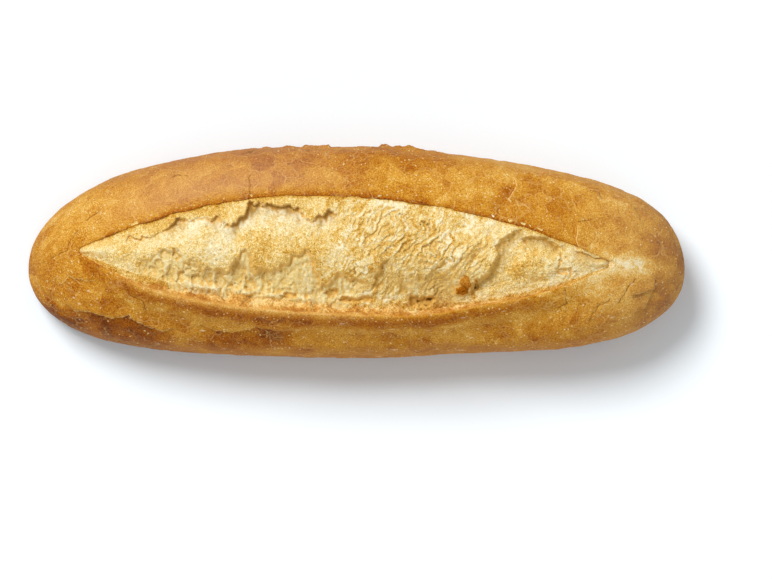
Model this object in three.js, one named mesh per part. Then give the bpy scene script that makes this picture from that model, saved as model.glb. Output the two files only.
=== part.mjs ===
// A baguette roll: one small loaf, slashed once along its top, that burst open in the oven.
// Millimetres, +Z up. +X runs along the loaf and +Y towards its back edge, where the crust
// ends in a clean lip over the slash. Along the front of the slash the crust stands up as an
// ear. The origin is on the resting face, in the middle of the loaf's length and width.
import * as THREE from "three";
import { mergeVertices } from "three/addons/utils/BufferGeometryUtils.js";

// The loaf before it burst
const LENGTH = 200;
const TIP_Y = -5.8; // the loaf is a little bent, so its tips lie forward of its middle

// Each edge in plan: its reach from the line through the tips, and towards either end how square
// it is, what share of the reach it tapers by, and by what share of the half length it has
const BACK_EDGE = {
  reach: 37.5,
  left: { fullness: 2.75, taper: 0, over: 1 },
  right: { fullness: 5.5, taper: 0.205, over: 0.85 },
};
const FRONT_EDGE = {
  reach: 26.9,
  left: { fullness: 4.7, taper: 0.06, over: 0.7 },
  right: { fullness: 5, taper: 0.07, over: 0.45 },
};
const WIDEST = (BACK_EDGE.reach + FRONT_EDGE.reach) / 2;

// The loaf in section
const WAIST = { left: 6, right: 17 }; // height of the loaf's widest line, which climbs to the right
const WAIST_CLIMBS = { from: -90, to: 0 };
const CROWN = 43.5; // height of the closed loaf
const TRAY_FLAT = 4; // depth of the underside that the baking tray has flattened
const CROWN_FULLNESS = 3.4;
const BASE_FULLNESS = 6;
const SIDE_ROUNDNESS = 2.15; // 2 is an ellipse, more is squarer
const BASE_ROUNDNESS = 2.5;
const SPINE = 68; // half the length of the straight spine that relief stands out from

// The slash, in plan
const SLASH_LEFT = { x: -85.5, y: 0.3 };
const SLASH_RIGHT = { x: 78.4, y: -3.9 };
const BACK_LIP = { reach: 18.4, widest: 0.43, rise: 1.75, fall: 2.3 };
const FRONT_LIP = { reach: 14.5, widest: 0.62, rise: 3.3, fall: 2 };
const FULLY_OPEN = 0.55; // share of its greatest width at which the slash has its full depth
const SCAR = 3; // half width of the healed crease past each end of the slash
const LIP_WALL = 0.5; // how far the wall under the back lip leans out
const EAR_WIDTH = { left: 3.3, right: 1 }; // torn face of the ear, from the groove to its crest
const EAR_THINS = { from: 12, to: 42 }; // stretch along X over which the ear and its groove thin out
const SCAR_EAR = 1;

// The slash, in height above the closed loaf
const LIP_LIFT = 0.7;
const LIP_LIFT_SPREAD = 7;
const LIP_STEP = 0.5;
const BULGE = 1.5;
const GROOVE = { left: 3.6, right: 1.6 };
const EAR_LIFT = 1.6;
const EAR_SPREAD = 4;
const VALLEY = 1.5; // the hollow in the crust in front of the ear
const VALLEY_AT = 8.5;
const VALLEY_SPREAD = 4.5;

// Torn crumb
const SHELF = { width: 3.4, wander: 2.6, wave: 11, from: -73, to: -2, drop: 2.1, heals: 6 };
const SKIN_EDGE = { across: 0.6, wander: 4.5, wave: 13, from: -62, to: 34, drop: 1.7, heals: 5 };
const SCARP = { x: 42, y: -1.5, lean: 0.68, wander: 2, wave: 8, reach: 13, drop: 2.4, heals: 6 };
const HIGH_SIDE = 0.3; // share of a tear's drop that stands above the crumb
const TEAR_WALL = 1.1; // half the width of the slope down a tear
const TEAR_FADE = 6; // length over which a tear dies out at each end
const BUBBLES = { pitch: 4.4, radius: 2.6, depth: 1.3, from: 0.58, to: 0.97 };
const GAPS = [
  { x: 0.5, y: -14.6, long: 6, wide: 1.9, depth: 2.4 },
  { x: 19, y: -15, long: 4.5, wide: 1.9, depth: 2.8 },
];
const CRAGS = { size: 5, height: 0.55 };

// Crust
const SWELL = { size: 26, height: 0.55 };
const FLAKES = { size: 12, height: 0.45 };
const BLISTERS = [
  { x: -14, angle: 0.1, size: 4, height: 0.7 },
  { x: 9.5, angle: 0.1, size: 3.2, height: 1.1 },
  { x: 17.5, angle: 0.1, size: 4, height: 1 },
  { x: 87, angle: 0.2, size: 3, height: 0.5 },
];
const TIP_EASE = 6; // half width of the loaf below which relief dies out at its tips
const DIRECTION_EASE = 8; // distance from a lip over which relief turns from upward to outward
const UNROLLED = 30; // radius that turns an angle round the loaf into a length along its crust

// Facets: stations along the loaf, and columns for each stretch round it
const STATIONS = 96;
const EVEN_STATIONS = 0.75; // share of the length with evenly spaced stations
const COLUMNS = { back: 10, lip: 1, crumb: 27, ear: 3, front: 9, frontBase: 4, flat: 3, backBase: 4 };
const LEAST_FLAT = 0.2; // half the angle of the facets under the tips, where nothing is flattened

const clamp = THREE.MathUtils.clamp;
const lerp = THREE.MathUtils.lerp;
const smoothstep = THREE.MathUtils.smoothstep;
const signedPower = (value, power) => Math.sign(value) * Math.abs(value) ** power;
const bell = (distance, spread) => Math.exp(-((distance / spread) ** 2));

// A number from 0 to 1 for each point of a lattice
function lattice(i, j, seed) {
  let h = Math.imul(i, 374761393) + Math.imul(j, 668265263) + Math.imul(seed, 974634541);
  h = Math.imul(h ^ (h >>> 13), 1274126177);
  return ((h ^ (h >>> 16)) >>> 0) / 4294967296;
}

// Smooth noise from -1 to 1
function noise(x, y, seed) {
  const i = Math.floor(x);
  const j = Math.floor(y);
  const u = smoothstep(x - i, 0, 1);
  const v = smoothstep(y - j, 0, 1);
  const near = lerp(lattice(i, j, seed), lattice(i + 1, j, seed), u);
  const far = lerp(lattice(i, j + 1, seed), lattice(i + 1, j + 1, seed), u);
  return 2 * lerp(near, far, v) - 1;
}

// Noise with finer noise on it, for ragged edges and crags of the given size
function ragged(x, y, size, seed) {
  let total = 0;
  for (let octave = 0; octave < 3; octave++) {
    const scale = 2 ** octave / size;
    total += noise(x * scale, y * scale, seed + octave) / 2 ** octave;
  }
  return total / 1.75;
}

// The distance to the nearest point of a jittered lattice
function cell(x, y, pitch, seed) {
  const i = Math.floor(x / pitch);
  const j = Math.floor(y / pitch);
  let nearest = Infinity;
  for (let a = i - 1; a <= i + 1; a++) {
    for (let b = j - 1; b <= j + 1; b++) {
      const px = (a + lattice(a, b, seed)) * pitch;
      const py = (b + lattice(a, b, seed + 1)) * pitch;
      nearest = Math.min(nearest, Math.hypot(x - px, y - py));
    }
  }
  return nearest;
}

// The closed loaf at a station: middle and half width in plan, height of its waist, and how far it
// reaches above and below that
function sectionAt(x) {
  const along = Math.min(1, Math.abs(x) / (LENGTH / 2));
  const end = x < 0 ? "left" : "right";
  const round = (fullness) => Math.sqrt(1 - along ** fullness);
  const edge = (side) => {
    const { fullness, taper, over } = side[end];
    return side.reach * round(fullness) * (1 - taper * smoothstep(along, 0, over));
  };
  const back = TIP_Y + edge(BACK_EDGE);
  const front = TIP_Y - edge(FRONT_EDGE);
  const climbed = smoothstep(x, WAIST_CLIMBS.from, WAIST_CLIMBS.to);
  const waist = lerp(WAIST.left, WAIST.right, climbed);
  return {
    middle: (back + front) / 2,
    half: (back - front) / 2,
    waist,
    rise: (CROWN - waist) * round(CROWN_FULLNESS),
    drop: (waist + TRAY_FLAT) * round(BASE_FULLNESS),
  };
}

// An arc that rises from 0 to 1 at its widest place and falls to 0 again
function lipArc(t, lip) {
  const rising = t < lip.widest;
  const from = rising ? 1 - t / lip.widest : (t - lip.widest) / (1 - lip.widest);
  return 1 - from ** (rising ? lip.rise : lip.fall);
}

// A size at a station, from its left to its right value as the ear thins out
const asEarThins = (x, size) =>
  lerp(size.left, size.right, smoothstep(x, EAR_THINS.from, EAR_THINS.to));

// Both lips and the ear's crest at a station, in plan, and how far the slash is open there
function slashAt(x, section) {
  const t = (x - SLASH_LEFT.x) / (SLASH_RIGHT.x - SLASH_LEFT.x);
  const inside = clamp(t, 0, 1);
  const end = t < 0.5 ? SLASH_LEFT.x : SLASH_RIGHT.x;
  const toTip = t === inside ? 0 : (x - end) / (Math.sign(x) * (LENGTH / 2) - end);
  const line = lerp(lerp(SLASH_LEFT.y, SLASH_RIGHT.y, inside), TIP_Y, toTip);
  const thin = section.half / WIDEST;
  const scar = SCAR * thin + 1e-6;
  const healed = (reach) => reach + scar * Math.exp(-reach / scar);
  const back = BACK_LIP.reach * lipArc(inside, BACK_LIP);
  const front = FRONT_LIP.reach * lipArc(inside, FRONT_LIP);
  const width = (back + front) / (BACK_LIP.reach + FRONT_LIP.reach);
  const open = smoothstep(width, 0, FULLY_OPEN);
  const backLip = line + healed(back);
  const frontLip = line - healed(front);
  return {
    open,
    back: backLip,
    foot: backLip - LIP_WALL * thin,
    front: frontLip,
    crest: frontLip - lerp(SCAR_EAR * thin, asEarThins(x, EAR_WIDTH), open),
  };
}

// A place on the closed loaf from its angle round the section, 0 at the back and PI at the front
function loafPoint(x, section, angle) {
  const up = Math.sin(angle) >= 0;
  const power = 2 / (up ? SIDE_ROUNDNESS : BASE_ROUNDNESS);
  const y = section.middle + section.half * signedPower(Math.cos(angle), power);
  const high = Math.abs(Math.sin(angle)) ** power;
  const z = section.waist + (up ? section.rise : -section.drop) * high;
  return new THREE.Vector3(x, y, Math.max(0, z));
}

// The angle of a place on the upper half from its distance across the loaf
function angleAt(y, section) {
  const across = section.half > 0 ? (y - section.middle) / section.half : 0;
  return Math.acos(signedPower(clamp(across, -0.97, 0.97), SIDE_ROUNDNESS / 2));
}

// A tear drops from a ragged edge, and both sides heal with distance from it
function tear(distance, { drop, heals }) {
  const share = HIGH_SIDE - 1 + smoothstep(distance, -TEAR_WALL, TEAR_WALL);
  return drop * share * Math.exp(-Math.abs(distance) / heals);
}

const within = (x, from, to) =>
  smoothstep(x, from, from + TEAR_FADE) * (1 - smoothstep(x, to - TEAR_FADE, to));

// Height of the torn crumb over the closed loaf, at a share of the way across the slash
function crumbHeight(x, y, slash, across) {
  const dome = Math.sin(Math.PI * across ** 0.92) ** 2;
  const groove = asEarThins(x, GROOVE) * smoothstep(across, 0.5, 0.97);
  let height = -LIP_STEP + (BULGE + LIP_STEP) * dome - groove;
  const shelf = slash.back - SHELF.width - SHELF.wander * ragged(x, 0, SHELF.wave, 11);
  height += tear(y - shelf, SHELF) * within(x, SHELF.from, SHELF.to);
  const skin = lerp(slash.back, slash.front, SKIN_EDGE.across);
  const skinEdge = skin + SKIN_EDGE.wander * ragged(x, 0, SKIN_EDGE.wave, 21);
  height += tear(y - skinEdge, SKIN_EDGE) * within(x, SKIN_EDGE.from, SKIN_EDGE.to);
  const acrossScarp = (SCARP.x - x) * Math.cos(SCARP.lean) + (y - SCARP.y) * Math.sin(SCARP.lean);
  const alongScarp = (x - SCARP.x) * Math.sin(SCARP.lean) + (y - SCARP.y) * Math.cos(SCARP.lean);
  const scarpEdge = acrossScarp + SCARP.wander * ragged(alongScarp, 0, SCARP.wave, 31);
  height += tear(scarpEdge, SCARP) * within(alongScarp, -SCARP.reach, SCARP.reach);
  const bubble = cell(x, y, BUBBLES.pitch, 41);
  const bubbly = smoothstep(across, BUBBLES.from, 0.75) * (1 - smoothstep(across, 0.9, BUBBLES.to));
  height -= BUBBLES.depth * bubbly * Math.max(0, 1 - (bubble / BUBBLES.radius) ** 2);
  for (const gap of GAPS) {
    height -= gap.depth * bell(x - gap.x, gap.long) * bell(y - gap.y, gap.wide);
  }
  return height + CRAGS.height * ragged(x, y, CRAGS.size, 51);
}

// Height of the crust's swells and loose flakes over the closed loaf
function crustHeight(x, angle) {
  const arc = (angle > 1.5 * Math.PI ? angle - 2 * Math.PI : angle) * UNROLLED;
  const flake = (cell(x, arc, FLAKES.size, 61) / FLAKES.size) ** 2;
  let height = SWELL.height * ragged(x, arc, SWELL.size, 71) - FLAKES.height * flake;
  for (const blister of BLISTERS) {
    const away = Math.hypot(x - blister.x, arc - blister.angle * UNROLLED);
    height += blister.height * bell(away, blister.size);
  }
  return height * smoothstep(Math.sin(angle), -0.55, 0.1);
}

// Height over the closed loaf of one column of the facets
function reliefAt(x, y, angle, { stretch, share }, slash) {
  const crust = crustHeight(x, angle);
  const across = clamp((slash.foot - y) / (slash.foot - slash.front), 0, 1);
  const torn = () => lerp(crust, crumbHeight(x, y, slash, across), slash.open);
  const lip = LIP_LIFT * bell(y - slash.back, LIP_LIFT_SPREAD);
  const forward = slash.crest - y;
  const ear = EAR_LIFT * bell(forward, EAR_SPREAD);
  const valley = VALLEY * bell(forward - VALLEY_AT, VALLEY_SPREAD);
  if (stretch === "back") return crust + slash.open * lip;
  if (stretch === "lip" || stretch === "crumb") return torn();
  if (stretch === "ear") return lerp(torn(), crust + slash.open * EAR_LIFT, share);
  if (stretch === "front") return crust + slash.open * (ear - valley);
  return crust;
}

// Where each station lies: evenly spaced along the loaf, then closing in on the rounded tips
function stationX(t) {
  const side = Math.sign(t - 0.5);
  const out = Math.abs(2 * t - 1);
  const even = (2 * out) / (1 + EVEN_STATIONS);
  const closing = 1 - (1 - out) ** 2 / (1 - EVEN_STATIONS ** 2);
  return (side * LENGTH * (out < EVEN_STATIONS ? even : closing)) / 2;
}

// The columns of a station: which stretch of the section each is in, and its angle
function columnsAt(section, slash) {
  const deep = Math.min(1, section.waist / Math.max(section.drop, section.waist));
  const flat = Math.min(Math.asin(deep ** (BASE_ROUNDNESS / 2)), Math.PI / 2 - LEAST_FLAT);
  const turns = [
    0,
    angleAt(slash.back, section),
    angleAt(slash.foot, section),
    angleAt(slash.front, section),
    angleAt(slash.crest, section),
    Math.PI,
    Math.PI + flat,
    2 * Math.PI - flat,
    2 * Math.PI,
  ];
  return Object.entries(COLUMNS).flatMap(([stretch, count], n) =>
    Array.from({ length: count }, (_, k) => {
      const share = (k + 1) / count;
      return { stretch, share, angle: lerp(turns[n], turns[n + 1], share) };
    }),
  );
}

// The way relief stands out: straight up in the open slash, away from the spine on the crust
function outwardAt(point, spine, slash) {
  const outward = point.clone().sub(spine).normalize();
  const beyond = Math.max(point.y - slash.back, slash.crest - point.y, 0);
  const upward = slash.open * (1 - smoothstep(beyond, 0, DIRECTION_EASE));
  return outward.lerp(new THREE.Vector3(0, 0, 1), point.z > spine.z ? upward : 0).normalize();
}

// A sphere's rows become the stations, and the columns of its rows go round each section
function rollGeometry() {
  const around = Object.values(COLUMNS).reduce((sum, count) => sum + count, 0);
  const geometry = new THREE.SphereGeometry(1, around, STATIONS);
  const position = geometry.attributes.position;
  for (let row = 0; row <= STATIONS; row++) {
    const x = stationX(1 - row / STATIONS);
    const section = sectionAt(x);
    const slash = slashAt(x, section);
    const columns = columnsAt(section, slash);
    const spine = new THREE.Vector3(clamp(x, -SPINE, SPINE), section.middle, section.waist);
    const ease = smoothstep(section.half, 0, TIP_EASE);
    for (let column = 0; column <= around; column++) {
      const place = columns[column % around];
      const point = loafPoint(x, section, place.angle);
      const relief = ease * reliefAt(x, point.y, place.angle, place, slash);
      if (point.z > 0) point.addScaledVector(outwardAt(point, spine, slash), relief);
      point.z = Math.max(0, point.z);
      position.setXYZ(row * (around + 1) + column, ...point.toArray());
    }
  }
  geometry.deleteAttribute("normal");
  geometry.deleteAttribute("uv");
  const closed = mergeVertices(geometry);
  closed.computeVertexNormals();
  return closed;
}

const bakedCrust = new THREE.MeshStandardMaterial({
  color: 0xd39a48,
  roughness: 0.7,
  metalness: 0,
});

const roll = new THREE.Mesh(rollGeometry(), bakedCrust);
roll.name = "roll";

const baguetteRoll = new THREE.Group();
baguetteRoll.add(roll);

export default baguetteRoll;
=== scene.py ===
# %% [markdown]
# # A baguette roll
# A baguette roll is one small loaf that was slashed once along its top. In the oven the slash
# bursts: pale crumb swells out between a clean back lip and a front lip that lifts into an ear.
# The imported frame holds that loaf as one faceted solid. This lesson makes its fine surface, at
# the same size and in the same place, and then its finish, the light and the camera.

# %% Load the frame
import math

import bmesh
import bpy
import numpy as np
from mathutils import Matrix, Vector


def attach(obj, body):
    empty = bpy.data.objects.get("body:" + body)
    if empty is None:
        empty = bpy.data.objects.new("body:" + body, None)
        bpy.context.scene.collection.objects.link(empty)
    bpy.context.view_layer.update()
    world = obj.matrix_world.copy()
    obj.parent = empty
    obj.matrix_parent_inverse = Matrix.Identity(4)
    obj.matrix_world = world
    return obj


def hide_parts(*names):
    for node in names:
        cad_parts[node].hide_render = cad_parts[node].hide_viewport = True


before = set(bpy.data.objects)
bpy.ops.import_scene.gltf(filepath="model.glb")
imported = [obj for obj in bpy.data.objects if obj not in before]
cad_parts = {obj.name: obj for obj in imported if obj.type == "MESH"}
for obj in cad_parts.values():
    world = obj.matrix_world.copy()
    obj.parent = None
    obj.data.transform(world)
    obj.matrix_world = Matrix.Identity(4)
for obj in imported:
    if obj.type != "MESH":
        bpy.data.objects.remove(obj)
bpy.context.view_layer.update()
MM = 0.001

# %% [markdown]
# ## Noise
# Bread is uneven at every size, so almost every edge and swell below needs a random but smooth
# number. Blender's texture nodes have such noise, but only for shading. The shape needs it too,
# so these few functions give the same kind of noise to numpy. A number is drawn for each point of
# a lattice by mixing the bits of its place, so nothing depends on chance from run to run.


# %% Soft steps and mixing
def smoothstep(low, high, value):
    share = np.clip((value - low) / (high - low), 0, 1)
    return share * share * (3 - 2 * share)


def bell(distance, spread):
    return np.exp(-((distance / spread) ** 2))


def spot(x, y, centre, radii):
    """1 at the centre of an oval, and almost 0 at two radii from it."""
    return bell(np.hypot((x - centre[0]) / radii[0], (y - centre[1]) / radii[1]), 1)


def mix(a, b, share):
    return a + (b - a) * share


def within(value, low, high, fade):
    return smoothstep(low, low + fade, value) * smoothstep(high, high - fade, value)


# %% Numbers on a lattice and smooth noise
BIT_MIXERS = {"x": 374761393, "y": 668265263, "seed": 974634541, "all": 1274126177}


def lattice(i, j, seed):
    bits = i.astype(np.uint32) * np.uint32(BIT_MIXERS["x"])
    bits = bits + j.astype(np.uint32) * np.uint32(BIT_MIXERS["y"])
    bits = bits + np.uint32(seed * BIT_MIXERS["seed"] % 2**32)
    bits = (bits ^ (bits >> np.uint32(13))) * np.uint32(BIT_MIXERS["all"])
    return (bits ^ (bits >> np.uint32(16))) / 2**32


def noise(x, y, seed):
    x, y = np.broadcast_arrays(x, y)
    i = np.floor(x).astype(np.int64)
    j = np.floor(y).astype(np.int64)
    u = smoothstep(0, 1, x - i)
    near = mix(lattice(i, j, seed), lattice(i + 1, j, seed), u)
    far = mix(lattice(i, j + 1, seed), lattice(i + 1, j + 1, seed), u)
    return 2 * mix(near, far, smoothstep(0, 1, y - j)) - 1


def ragged(x, y, size, seed, octaves=3, keep=0.5):
    """Noise of that size, with finer octaves that each keep a share of the one before."""
    total = 0
    weight = 0
    for octave in range(octaves):
        scale = 2**octave / size
        total = total + noise(x * scale, y * scale, seed + octave) * keep**octave
        weight += keep**octave
    return total / weight


def rough(x, y, form, seed, octaves=3, keep=0.5):
    """Ragged noise whose form is its size and its height."""
    return form[1] * ragged(x, y, form[0], seed, octaves, keep)


# %% Cells
def cells(x, y, pitch, seed):
    """Distances to the two nearest cell centres, the nearest one's number, and the offset over it."""
    x, y = np.broadcast_arrays(x / pitch, y / pitch)
    i = np.floor(x).astype(np.int64)
    j = np.floor(y).astype(np.int64)
    nearest = np.full(x.shape, np.inf)
    second = np.full(x.shape, np.inf)
    number = np.zeros(x.shape)
    over = np.zeros(x.shape)
    for a in (i - 1, i, i + 1):
        for b in (j - 1, j, j + 1):
            off = y - b - lattice(a, b, seed + 1)
            away = np.hypot(x - a - lattice(a, b, seed), off)
            closer = away < nearest
            second = np.where(closer, nearest, np.minimum(second, away))
            number = np.where(closer, lattice(a, b, seed + 2), number)
            over = np.where(closer, off, over)
            nearest = np.minimum(nearest, away)
    return nearest * pitch, second * pitch, number, over * pitch


# %% [markdown]
# ## The loaf before it burst
# Seen from above the loaf is a bent, pointed oval, and in section a flattened round that the tray
# has levelled underneath. Its widest line, the waist, lies low on the left and higher on the
# right. A few formulas give all this, with the same sizes as the frame's solid, in millimetres.
# Each place on the loaf has a distance x along it and an angle round its section.

# %% Sizes of the closed loaf
LENGTH = 200
TIP_Y = -5.8
WAIST = (6, 17)
WAIST_RISES = (-90, 0)
CROWN = 43.5
TRAY_FLAT = 4
BACK_EDGE = {"reach": 37.5, "left": (2.75, 0, 1), "right": (5.5, 0.205, 0.85)}
FRONT_EDGE = {"reach": 26.9, "left": (4.7, 0.06, 0.7), "right": (5, 0.07, 0.45)}
WIDEST = (BACK_EDGE["reach"] + FRONT_EDGE["reach"]) / 2
CROWN_FULLNESS = 3.4
BASE_FULLNESS = 6
SIDE_ROUNDNESS = 2.15
BASE_ROUNDNESS = 2.5
SPINE = 68


# %% Plan of the closed loaf
def rounding(along, fullness):
    return np.sqrt(1 - along**fullness)


def plan_edge(x, edge):
    along = np.minimum(1, np.abs(x) / (LENGTH / 2))
    reaches = []
    for end in ("left", "right"):
        fullness, taper, over = edge[end]
        reaches.append(rounding(along, fullness) * (1 - taper * smoothstep(0, over, along)))
    return edge["reach"] * np.where(x < 0, *reaches)


# %% Sections of the closed loaf
WIDEST_SHARE = 0.97
TINY = 1e-9


def signed_power(value, power):
    return np.sign(value) * np.abs(value) ** power


def section_at(x):
    along = np.minimum(1, np.abs(x) / (LENGTH / 2))
    back = TIP_Y + plan_edge(x, BACK_EDGE)
    front = TIP_Y - plan_edge(x, FRONT_EDGE)
    waist = mix(*WAIST, smoothstep(*WAIST_RISES, x))
    return {
        "middle": (back + front) / 2,
        "half": (back - front) / 2,
        "waist": waist,
        "rise": (CROWN - waist) * rounding(along, CROWN_FULLNESS),
        "drop": (waist + TRAY_FLAT) * rounding(along, BASE_FULLNESS),
    }


def loaf_point(section, angle):
    """Y and Z of the closed loaf at an angle: 0 at the back, half a turn at the front."""
    up = np.sin(angle) >= 0
    power = np.where(up, 2 / SIDE_ROUNDNESS, 2 / BASE_ROUNDNESS)
    y = section["middle"] + section["half"] * signed_power(np.cos(angle), power)
    high = np.abs(np.sin(angle)) ** power
    z = section["waist"] + np.where(up, section["rise"], -section["drop"]) * high
    return y, np.maximum(z, 0)


def angle_at(y, section):
    across = (y - section["middle"]) / np.maximum(section["half"], TINY)
    across = np.clip(across, -WIDEST_SHARE, WIDEST_SHARE)
    return np.arccos(signed_power(across, SIDE_ROUNDNESS / 2))


# %% [markdown]
# ## The slash
# The slash opened into a long lens. Its back lip is a clean edge of crust with a steep wall. Its
# front lip rises out of a groove as an ear: a torn face, a crest, and a dark hollow in front. The
# ear is wide on the left and thins out to the right. Past both ends of the lens a narrow scar
# keeps the lines apart, so that the mesh never pinches.

# %% Sizes of the slash
SLASH_LEFT = (-85.5, 0.3)
SLASH_RIGHT = (78.4, -3.9)
BACK_LIP = (18.4, 0.43, 1.75, 2.3)
FRONT_LIP = (14.5, 0.62, 3.3, 2)
FULLY_OPEN = 0.55
SCAR = 0.8
LEAST_GAP = 1e-6
LIP_WALL = 0.35
LIP_WOBBLE = (3.5, 0.35)
HEEL = 1
EAR_WIDTH = (3.3, 1)
EAR_NARROWS = (12, 42)
SCAR_EAR = 0.4


# %% Lines of the slash
def lip_arc(along, lip):
    reach, widest, rise, fall = lip
    rising = (1 - np.minimum(along / widest, 1)) ** rise
    falling = np.maximum((along - widest) / (1 - widest), 0) ** fall
    return reach * (1 - np.where(along < widest, rising, falling))


def slash_at(x, section):
    along = (x - SLASH_LEFT[0]) / (SLASH_RIGHT[0] - SLASH_LEFT[0])
    inside = np.clip(along, 0, 1)
    end = np.where(along < 0.5, SLASH_LEFT[0], SLASH_RIGHT[0])
    to_tip = np.where(along == inside, 0, (x - end) / (np.sign(x) * LENGTH / 2 - end))
    line = mix(mix(SLASH_LEFT[1], SLASH_RIGHT[1], inside), TIP_Y, to_tip)
    thin = section["half"] / WIDEST
    scar = SCAR * thin + LEAST_GAP
    back = lip_arc(inside, BACK_LIP)
    front = lip_arc(inside, FRONT_LIP)
    opened = smoothstep(0, FULLY_OPEN, (back + front) / (BACK_LIP[0] + FRONT_LIP[0]))
    wobble = LIP_WOBBLE[1] * opened * ragged(x, 0, LIP_WOBBLE[0], 15)
    back_lip = line + back + scar * np.exp(-back / scar) + wobble
    front_lip = line - front - scar * np.exp(-front / scar)
    ear = mix(SCAR_EAR * thin, mix(*EAR_WIDTH, smoothstep(*EAR_NARROWS, x)), opened) + LEAST_GAP
    return {
        "open": opened,
        "back": back_lip,
        "foot": back_lip - LIP_WALL * opened - scar / 2 * (1 - opened),
        "heel": front_lip + HEEL * opened + scar / 2 * (1 - opened),
        "front": front_lip,
        "crest": front_lip - ear,
    }


# %% [markdown]
# ## Torn edges
# Most of what the eye reads as torn bread is a ragged edge: one side stands high, the other has
# dropped, and both heal into the bread a few millimetres away. A few points trace each edge in
# plan, with its high side on the left as one walks along it. One function measures how far each
# place is from such a line, and another gives the profile.

# %% Distance to a line
def beside(x, y, points):
    """Signed distance to a line of points, more than 0 on its left, and the share run along it."""
    x, y = np.broadcast_arrays(x, y)
    best = np.full(x.shape, np.inf)
    lever = np.zeros(x.shape)
    run = np.zeros(x.shape)
    points = np.array(points, dtype=float)
    steps = np.diff(points, axis=0)
    lengths = np.hypot(steps[:, 0], steps[:, 1])
    before = 0
    for (px, py), (dx, dy), length in zip(points, steps, lengths):
        share = np.clip(((x - px) * dx + (y - py) * dy) / length**2, 0, 1)
        away = np.hypot(x - px - share * dx, y - py - share * dy)
        sideways = (dx * (y - py) - dy * (x - px)) / length
        corner = (away < best + TINY) & (np.abs(sideways) > np.abs(lever))
        closer = (away < best - TINY) | corner
        lever = np.where(closer, sideways, lever)
        run = np.where(closer, (before + share * length) / lengths.sum(), run)
        best = np.minimum(best, away)
        before += length
    return np.sign(lever) * best, run


# %% Profile of a tear
HIGH_SIDE = 0.3
TEAR_CURVE = 1.4


def tear(distance, drop, heals, wall):
    down = np.clip(1 + distance / (2 * wall), 0, 1) ** TEAR_CURVE
    return drop * (HIGH_SIDE - 1 + down) * np.exp(-np.abs(distance) / heals)


# %% [markdown]
# ## A net of stations and columns for the crust
# The crust is a sphere's net: its poles become the loaf's tips, its rings become stations along
# the loaf, and the lines between its poles run along the loaf as columns. Columns are bunched so
# that one follows each lip and the crest exactly. Between the lips they dip into a trench, which
# the crumb fills as a second net of its own.

# %% Stations of the crust
STATIONS = 520
EVEN_STATIONS = 0.75

station = np.linspace(-1, 1, STATIONS + 1)[:, None]
even = 2 * np.abs(station) / (1 + EVEN_STATIONS)
closing = 1 - (1 - np.abs(station)) ** 2 / (1 - EVEN_STATIONS**2)
X = np.sign(station) * np.where(np.abs(station) < EVEN_STATIONS, even, closing) * LENGTH / 2
SECTION = section_at(X)
SLASH = slash_at(X, SECTION)
print("crust has", STATIONS + 1, "stations")

# %% Columns of the crust
COLUMNS = {
    "back": 62,
    "lip": 6,
    "trench": 4,
    "ear": 18,
    "front": 58,
    "front_base": 12,
    "flat": 8,
    "back_base": 12,
}
LEAST_FLAT = 0.2

levelled = SECTION["waist"] / np.maximum(SECTION["drop"], SECTION["waist"])
flat = np.arcsin(np.minimum(1, levelled) ** (BASE_ROUNDNESS / 2))
flat = np.minimum(flat, math.pi / 2 - LEAST_FLAT)
turns = [0 * X]
turns += [angle_at(SLASH[line], SECTION) for line in ("back", "foot", "heel", "crest")]
turns += [0 * X + math.pi, math.pi + flat, 2 * math.pi - flat, 0 * X + 2 * math.pi]
angles = []
stretches = []
shares = []
for n, (stretch, count) in enumerate(COLUMNS.items()):
    share = np.arange(1, count + 1)[None, :] / count
    angles.append(mix(turns[n], turns[n + 1], share))
    stretches += [stretch] * count
    shares.append(share)
ANGLE = np.concatenate(angles, axis=1)
SHARE = np.concatenate(shares, axis=1)
STRETCH = np.array(stretches)[None, :]
print("and", ANGLE.shape[1], "columns")

# %% Places and directions on the closed loaf
UNROLLED = 30

Y, Z = loaf_point(SECTION, ANGLE)
TOPWARD = np.sin(ANGLE)
BACKWARD = np.cos(ANGLE)
ARC = np.where(ANGLE > 1.5 * math.pi, ANGLE - 2 * math.pi, ANGLE) * UNROLLED
print("closed loaf is", round(float(Y.max() - Y.min()), 1), "mm wide and", round(float(Z.max()), 1), "high")

# %% [markdown]
# ## Crust relief
# The crust has low swells, plates that stand at slightly different heights, and crags on its back
# edge. A few flakes have lifted along ragged lines, and thin cracks run down from the slash. The
# relief dies out towards the base, which the tray kept flat. All of it is real shape, so that it
# catches the light from any side.

# %% Swells, plates and pebbles
SWELL = (26, 0.5)
PLATE = (10, 0.16)
PLATE_STRETCH = 1.5
PLATE_SWAY = (5, 2.5)
PLATE_SEAM = 0.5
KNOBBLE = (3.6, 0.16)
PEBBLE = (1.7, 0.09)

crust = rough(X, ARC, SWELL, 71)
plate_x = (X + rough(X, ARC, PLATE_SWAY, 60)) / PLATE_STRETCH
plate_arc = ARC + rough(X, ARC, PLATE_SWAY, 64)
near, far, plate, _ = cells(plate_x, plate_arc, PLATE[0], 67)
crust = crust + PLATE[1] * (2 * plate - 1) * smoothstep(0, PLATE_SEAM, far - near)
crust = crust + rough(X, ARC, KNOBBLE, 70, 2)
crust = crust + rough(X, ARC, PEBBLE, 73, 2)

# %% Crags on the back edge: place along the loaf, angle, breadth and height
CRAGS = [
    (-27.5, 0.1, 1.6, 0.4), (-20, 0.1, 2, 0.4), (-14, 0.12, 2.6, 0.6), (-9.5, 0.12, 1.8, 0.6),
    (9, 0.06, 1.8, 0.9), (14, 0.1, 3.2, 0.7), (18.5, 0.1, 2.6, 0.6), (24, 0.1, 3, 0.4),
    (87, 0.3, 2, 0.6),
]
CRAG_TEETH = (1.2, 0.9)

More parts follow.
